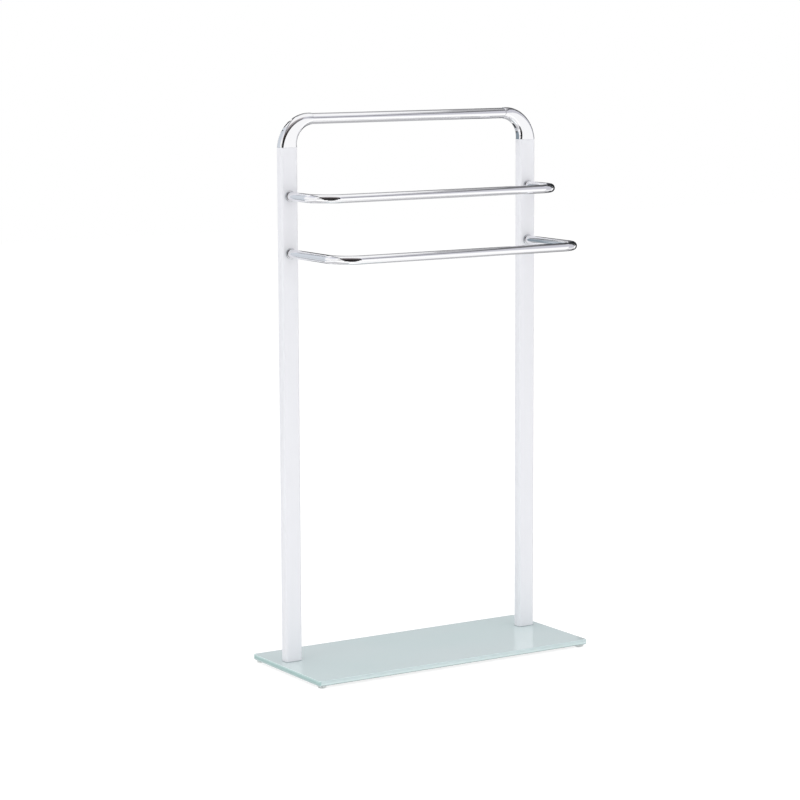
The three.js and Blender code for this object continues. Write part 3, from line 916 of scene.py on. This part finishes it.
# %% [markdown]
# ## Floor and background
# Product photographs of this kind are taken on a white sweep that burns out to plain white. The
# floor is a real pale surface that lights the stand from below. Seen directly it turns darker
# and adds light of its own, so that it stays just at white near and far and keeps a faint
# shadow. The world behind is white to the camera and to mirrors. More lamp light would make
# the floor white too, but it would burn the white posts out.

# %% Lay the floor
FLOOR_SIZE = 14
start_fresh()
bpy.ops.mesh.primitive_plane_add(size=FLOOR_SIZE, location=(0, 0, 0))
floor = bpy.context.object
floor.name = floor.data.name = "floor"
floor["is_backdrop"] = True
floor_finish = new_finish("floor_white", Roughness=0.9, Specular_IOR_Level=0.0)
floor_noise = noise_on(floor_finish, 2)
pale = vary_colour(floor_finish, floor_noise, (0.86, 0.86, 0.86), (0.87, 0.87, 0.87))
floor.data.materials.append(floor_finish)
print("floor, m:", FLOOR_SIZE)

# %% Keep the floor white where it is seen directly
SEEN_DIRECTLY = ("Is Camera Ray", "Is Glossy Ray", "Is Transmission Ray")
SEEN_COLOUR = 0.29
OWN_LIGHT = 0.82


def seen_directly(nodes, links):
    """A switch that is on for rays from the camera, off a mirror or through glass."""
    rays = nodes.new("ShaderNodeLightPath")
    switch = rays.outputs[SEEN_DIRECTLY[0]]
    for kind in SEEN_DIRECTLY[1:]:
        either = nodes.new("ShaderNodeMath")
        either.operation = "MAXIMUM"
        links.new(switch, either.inputs[0])
        links.new(rays.outputs[kind], either.inputs[1])
        switch = either.outputs[0]
    return switch


floor_nodes, floor_links = floor_finish.node_tree.nodes, floor_finish.node_tree.links
floor_surface = floor_nodes["Principled BSDF"]
seen = seen_directly(floor_nodes, floor_links)
shade = floor_nodes.new("ShaderNodeMix")
shade.data_type = "RGBA"
colours = [socket for socket in shade.inputs if socket.type == "RGBA"]
colours[1].default_value = (SEEN_COLOUR, SEEN_COLOUR, SEEN_COLOUR, 1)
floor_links.new(pale.outputs["Color"], colours[0])
floor_links.new(seen, shade.inputs[0])
mixed = [socket for socket in shade.outputs if socket.type == "RGBA"][0]
floor_links.new(mixed, floor_surface.inputs["Base Color"])
own_light = floor_nodes.new("ShaderNodeMath")
own_light.operation = "MULTIPLY"
own_light.inputs[1].default_value = OWN_LIGHT
floor_links.new(seen, own_light.inputs[0])
floor_surface.inputs["Emission Color"].default_value = (1, 1, 1, 1)
floor_links.new(own_light.outputs[0], floor_surface.inputs["Emission Strength"])
print("floor seen with its own light:", OWN_LIGHT)

# %% White for the camera, studio level for the rest
STUDIO_LEVEL = 0.70
world = bpy.data.worlds.new("studio")
bpy.context.scene.world = world
world.use_nodes = True
sky_nodes, sky_links = world.node_tree.nodes, world.node_tree.links
sky = sky_nodes["Background"]
sky.inputs["Color"].default_value = (1, 1, 1, 1)
level = sky_nodes.new("ShaderNodeMapRange")
level.inputs["To Min"].default_value = STUDIO_LEVEL
level.inputs["To Max"].default_value = 1.0
sky_links.new(seen_directly(sky_nodes, sky_links), level.inputs["Value"])
sky_links.new(level.outputs["Result"], sky.inputs["Strength"])
print("studio level:", STUDIO_LEVEL)

# %% [markdown]
# ## Lamps and cards
# Three large soft lamps add shape: one from the front for the posts' faces, one from the left
# for their sides and one from above. Chrome shows only what stands round it, so photographers
# hang grey and black cards about it. Here the cards stand like the walls, ceiling and floor of
# a small studio. Each one is where a band on a tube, a bend or an elbow says that something
# grey or dark stood. Only mirrors see them, so they light nothing and never show themselves.
# A room picture round the whole scene would be quicker, but cards can be moved one by one.

# %% Hang the lamps
def soft_lamp(name, place, target, size, power):
    """A large square lamp that looks at a target."""
    data = bpy.data.lights.new(name, "AREA")
    data.shape = "SQUARE"
    data.size = size
    data.energy = power
    lamp = bpy.data.objects.new(name, data)
    bpy.context.scene.collection.objects.link(lamp)
    lamp.location = place
    lamp.rotation_euler = (Vector(target) - Vector(place)).to_track_quat("-Z", "Y").to_euler()
    lamp.visible_glossy = False
    print(name, "watts:", power)


soft_lamp("front_lamp", place=(0.7, -2.6, 0.35), target=(0, 0, 0.3), size=1.2, power=9.5)
soft_lamp("left_lamp", place=(-2.6, -0.6, 1.6), target=(0, 0, 0.8), size=1.2, power=10)
soft_lamp("overhead_lamp", place=(-0.1, 0.0, 2.9), target=(0, 0, 0.3), size=2.2, power=40)

# %% A tool that stands a card
STUDIO_TURN = Matrix.Rotation(-CAMERA_TURN, 4, "Z")
# Each wall has its two directions and its place, in metres and as the camera sees the studio.
WALLS = {
    "front": ((1, 0, 0), (0, 0, 1), (0, -1.5, 0)),
    "rear": ((1, 0, 0), (0, 0, 1), (0, 1.3, 0)),
    "rear_near": ((1, 0, 0), (0, 0, 1), (0, 1.28, 0)),
    "left": ((0, 1, 0), (0, 0, 1), (-1.5, 0, 0)),
    "left_near": ((0, 1, 0), (0, 0, 1), (-1.48, 0, 0)),
    "right": ((0, 1, 0), (0, 0, 1), (1.3, 0, 0)),
    "right_near": ((0, 1, 0), (0, 0, 1), (1.28, 0, 0)),
    "ceiling": ((1, 0, 0), (0, 1, 0), (0, 0, 2.1)),
    "ceiling_near": ((1, 0, 0), (0, 1, 0), (0, 0, 2.08)),
    "ground": ((1, 0, 0), (0, 1, 0), (0, 0, 0.003)),
    "ground_near": ((1, 0, 0), (0, 1, 0), (0, 0, 0.004)),
}


def card(name, wall, across, along, colour, turn=0):
    """A card that only mirrors see, from its wall, its spans there, its glow and its turn."""
    first, second, place = (Vector(part) for part in WALLS[wall])
    centre = place + first * sum(across) / 2 + second * sum(along) / 2
    axes = Matrix((first, second, first.cross(second))).transposed().to_4x4()
    size = Matrix.Diagonal((across[1] - across[0], along[1] - along[0], 1, 1))
    start_fresh()
    bpy.ops.mesh.primitive_plane_add(size=1)
    board = bpy.context.object
    board.name = board.data.name = name + "_card"
    turned_card = axes @ Matrix.Rotation(math.radians(turn), 4, "Z") @ size
    board.matrix_world = STUDIO_TURN @ Matrix.Translation(centre) @ turned_card
    fix_place()
    board.visible_camera = False
    board.visible_diffuse = False
    board.visible_shadow = False
    board.visible_transmission = False
    material = bpy.data.materials.new(name + "_card")
    material.use_nodes = True
    nodes, links = material.node_tree.nodes, material.node_tree.links
    glow = nodes.new("ShaderNodeEmission")
    glow.inputs["Color"].default_value = (*colour, 1)
    links.new(glow.outputs["Emission"], nodes["Material Output"].inputs["Surface"])
    board.data.materials.append(material)
    board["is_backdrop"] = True


# %% Stand the cards
# Name, wall, span across and span along it in metres, glow, and turn in degrees if it has one.
CARDS = [
    ("dark_room", "front", (-0.50, 1.30), (0.02, 1.28), (0.022, 0.020, 0.020)),
    ("dark_room_side", "front", (-0.70, -0.50), (0.50, 1.28), (0.030, 0.028, 0.028)),
    ("dark_room_end", "front", (-0.92, -0.70), (1.04, 1.28), (0.030, 0.028, 0.028)),
    ("dark_room_corner", "front", (-1.48, -0.70), (0.54, 0.63), (0.030, 0.028, 0.028)),
    ("dark_stand", "front", (-1.40, -0.92), (0.90, 1.15), (0.040, 0.040, 0.045)),
    ("brown_shelf", "front", (-0.95, 1.30), (1.28, 1.50), (0.090, 0.070, 0.072)),
    ("dark_shelf", "front", (-1.15, 1.30), (1.50, 1.66), (0.025, 0.022, 0.022)),
    ("grey_shelf", "front", (-0.70, 1.30), (1.66, 2.08), (0.30, 0.29, 0.30)),
    ("dark_shelf_end", "front", (-1.15, -0.70), (1.66, 2.08), (0.050, 0.048, 0.050)),
    ("ceiling_front", "ceiling", (-0.70, 1.30), (-1.22, -0.75), (0.54, 0.50, 0.51)),
    ("ceiling_line", "ceiling", (-1.20, 1.30), (-1.50, -1.22), (0.16, 0.15, 0.15)),
    ("ceiling_left", "ceiling", (-1.50, -1.00), (-1.22, 0.50), (0.56, 0.57, 0.62)),
    ("ceiling_gap", "ceiling_near", (-1.00, -0.82), (-1.48, 1.26), (0.060, 0.060, 0.065)),
    ("ceiling_right", "ceiling", (0.38, 1.98), (0.35, 0.95), (0.17, 0.17, 0.18), -60),
    ("ceiling_right_soft", "ceiling_near", (0.05, 1.65), (0.38, 0.54), (0.45, 0.45, 0.46), -60),
    ("ceiling_rear", "ceiling", (-0.60, 0.75), (0.68, 1.30), (0.55, 0.55, 0.56)),
    ("right_front", "right", (-1.50, -1.08), (0.45, 1.50), (0.040, 0.038, 0.040)),
    ("right_front_high", "right", (-1.50, -1.08), (1.50, 2.08), (0.30, 0.29, 0.30)),
    ("right_line", "right_near", (-1.12, 0.32), (1.54, 1.68), (0.17, 0.17, 0.18), 45),
    ("right_side", "right", (-1.08, 0.72), (0.82, 2.08), (0.61, 0.61, 0.66)),
    ("right_low", "right", (-0.10, 0.72), (0.25, 0.82), (0.62, 0.62, 0.66)),
    ("right_dark", "right", (0.72, 1.28), (0.75, 2.08), (0.035, 0.040, 0.042)),
    ("rear_dark", "rear", (0.42, 1.28), (1.18, 2.08), (0.016, 0.018, 0.020)),
    ("rear_tip", "rear_near", (0.32, 1.26), (0.02, 1.18), (0.020, 0.022, 0.024)),
    ("rear_line", "rear", (-0.65, 0.00), (0.66, 1.20), (0.21, 0.21, 0.22)),
    ("rear_line_right", "rear", (0.00, 0.42), (0.66, 1.20), (0.10, 0.10, 0.11)),
    ("rear_grey", "rear", (-0.65, 0.18), (1.20, 2.08), (0.35, 0.35, 0.36)),
    ("rear_grey_right", "rear", (0.18, 0.42), (1.20, 2.08), (0.17, 0.17, 0.18)),
    ("rear_gap", "rear_near", (-1.26, -0.07), (1.55, 1.71), (0.060, 0.060, 0.065), -50),
    ("rear_gap_low", "rear_near", (-0.46, -0.19), (0.62, 1.20), (0.080, 0.080, 0.085)),
    ("rear_left", "rear", (-1.48, -0.92), (1.30, 1.80), (0.045, 0.05, 0.055)),
    ("rear_low", "rear", (-1.48, 1.28), (0.02, 0.66), (0.40, 0.42, 0.44)),
    ("left_high", "left", (-1.00, 0.30), (1.28, 2.08), (0.77, 0.78, 0.84)),
    ("left_rear_soft", "left", (0.30, 0.48), (0.66, 1.70), (0.80, 0.82, 0.87)),
    ("left_rear_high", "left", (0.48, 0.62), (0.66, 1.80), (0.67, 0.71, 0.76)),
    ("left_rear", "left", (0.62, 1.28), (0.05, 1.90), (0.64, 0.68, 0.73)),
    ("left_low", "left", (0.40, 0.62), (0.02, 0.66), (0.60, 0.64, 0.68)),
    ("left_low_mid", "left", (0.10, 0.40), (0.02, 0.52), (0.72, 0.74, 0.78)),
    ("left_low_soft", "left", (-0.35, 0.10), (0.02, 0.52), (0.86, 0.87, 0.89)),
    ("left_corner", "left", (-1.50, -0.45), (0.535, 0.625), (0.030, 0.028, 0.028)),
    ("left_band", "left_near", (0.78, 1.02), (0.02, 1.15), (0.24, 0.29, 0.33)),
    ("left_band_edge", "left_near", (1.02, 1.26), (0.02, 1.60), (0.035, 0.040, 0.045)),
    ("ground_right", "ground", (0.15, 1.28), (-0.95, 0.00), (1.00, 1.00, 1.00)),
    ("ground_front", "ground", (-0.10, 0.65), (-1.48, -0.95), (0.04, 0.04, 0.04)),
    ("ground_left", "ground", (-1.48, -1.00), (-1.20, 0.60), (0.96, 0.96, 0.98)),
    ("ground_rear", "ground", (-1.48, -0.75), (0.62, 1.15), (0.46, 0.48, 0.51)),
    ("ground_dark", "ground_near", (-0.85, -0.35), (0.78, 1.26), (0.050, 0.055, 0.060)),
    ("ground_tip", "ground_near", (0.30, 1.26), (0.72, 1.26), (0.060, 0.060, 0.065)),
    ("ground_rear_right", "ground", (-0.10, 1.28), (0.00, 1.28), (0.49, 0.49, 0.50)),
    ("ground_middle", "ground", (-0.90, -0.10), (-0.60, 0.75), (0.60, 0.60, 0.61)),
]
for entry in CARDS:
    card(*entry)
print("cards:", len(CARDS))

# %% [markdown]
# ## Closing the lesson
# The dressed stand must keep the size of the measured one, so the size of its box is printed.

# %% Set the view and print the dressed size
# The Standard view shows white as white, where the usual one would make it grey.
scene = bpy.context.scene
scene.view_settings.view_transform = "Standard"
start_fresh()
low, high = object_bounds()
print("dressed stand, mm:", [round(side / MM, 1) for side in high - low])
